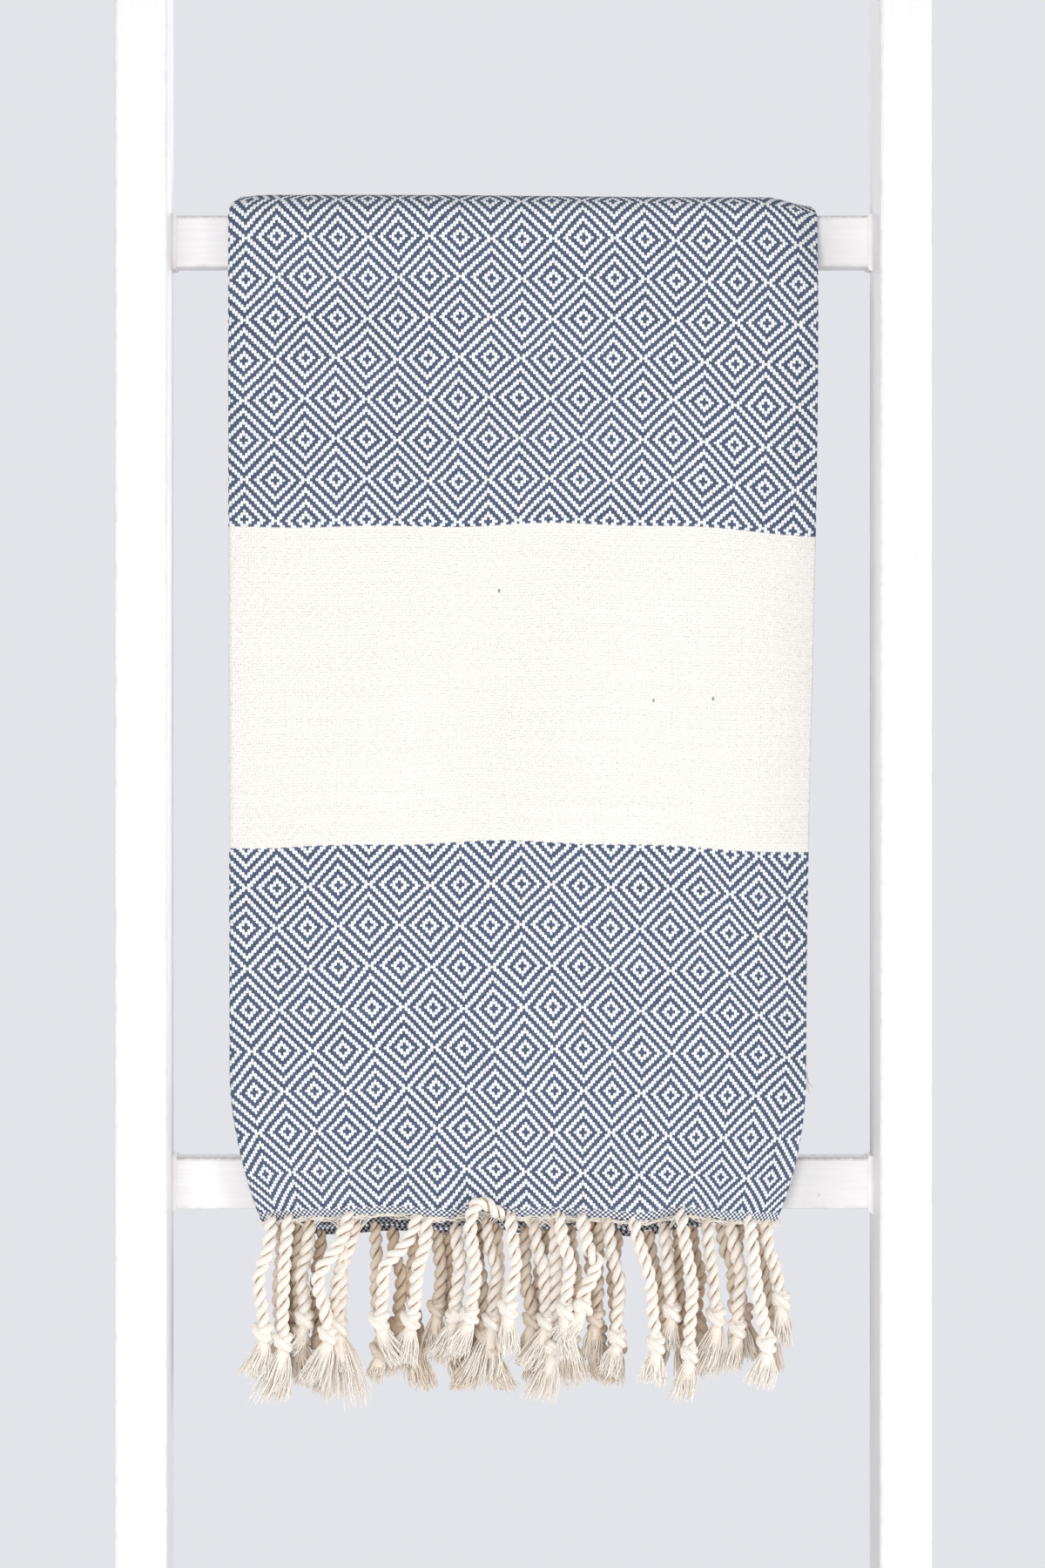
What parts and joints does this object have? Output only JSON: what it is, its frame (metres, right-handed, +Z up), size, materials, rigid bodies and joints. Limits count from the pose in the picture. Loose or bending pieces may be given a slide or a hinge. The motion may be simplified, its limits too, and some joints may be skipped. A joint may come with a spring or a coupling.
{
  "type": "throw on a blanket ladder",
  "caption": "White-painted wooden blanket ladder with a folded, fringed, diamond-weave cotton throw hung over its top rung.",
  "frame": {"origin": "on the floor, below the middle of the whole object (rails, rungs and hanging throw)", "axes": "+Z up along the rails, +X to the viewer's right along the rungs, -Y towards the viewer, out of the front of the hanging throw"},
  "size_m": [0.342, 0.054, 1.52],
  "materials": {
    "rail_paint": "satin white paint over planed softwood",
    "rung_paint": "satin white paint over planed softwood",
    "plug_paint": "softwood plug, filled and painted over",
    "screw_steel": "plain zinc-plated wood screw",
    "dowel_beech": "bare beech",
    "pad_rubber": "matt rubber",
    "throw_cloth": "woven cotton, denim blue and white diamond twill with a cream band",
    "fringe_cotton": "twisted undyed cotton rope"
  },
  "bodies": {
    "rack": {"left_rail": "rail_paint", "right_rail": "rail_paint", "rung_1": "rung_paint", "rung_2": "rung_paint", "rung_3": "rung_paint", "rung_4": "rung_paint", "left_foot_pad": "pad_rubber", "right_foot_pad": "pad_rubber", "screw_1_left": "screw_steel", "screw_1_right": "screw_steel", "screw_2_left": "screw_steel", "screw_2_right": "screw_steel", "screw_3_left": "screw_steel", "screw_3_right": "screw_steel", "screw_4_left": "screw_steel", "screw_4_right": "screw_steel", "dowel_1_left": "dowel_beech", "dowel_1_right": "dowel_beech", "dowel_2_left": "dowel_beech", "dowel_2_right": "dowel_beech", "dowel_3_left": "dowel_beech", "dowel_3_right": "dowel_beech", "dowel_4_left": "dowel_beech", "dowel_4_right": "dowel_beech", "plug_1_left": "plug_paint", "plug_1_right": "plug_paint", "plug_2_left": "plug_paint", "plug_2_right": "plug_paint", "plug_3_left": "plug_paint", "plug_3_right": "plug_paint", "plug_4_left": "plug_paint", "plug_4_right": "plug_paint"},
    "throw": {"throw_over_rung": "throw_cloth", "throw_front_outer": "throw_cloth", "throw_front_inner": "throw_cloth", "throw_back": "throw_cloth", "inner_fringe": "fringe_cotton"},
    "fringe": {"tassel_01": "fringe_cotton", "tassel_02": "fringe_cotton", "tassel_03": "fringe_cotton", "tassel_04": "fringe_cotton", "tassel_05": "fringe_cotton", "tassel_06": "fringe_cotton", "tassel_07": "fringe_cotton", "tassel_08": "fringe_cotton", "tassel_09": "fringe_cotton", "tassel_10": "fringe_cotton", "tassel_11": "fringe_cotton", "tassel_12": "fringe_cotton", "fringe_rear_rows": "fringe_cotton"}
  },
  "joints": [
    {"name": "throw_lift", "type": "slide", "parent": "rack", "child": "throw", "axis": [0, 0, 1], "range_m": [0, 0.645]},
    {"name": "fringe_swing", "type": "hinge", "parent": "throw", "child": "fringe", "pos_m": [0, -0.00468, 0.976], "axis": [-1, 0, 0], "range_deg": [-30, 45]}
  ]
}
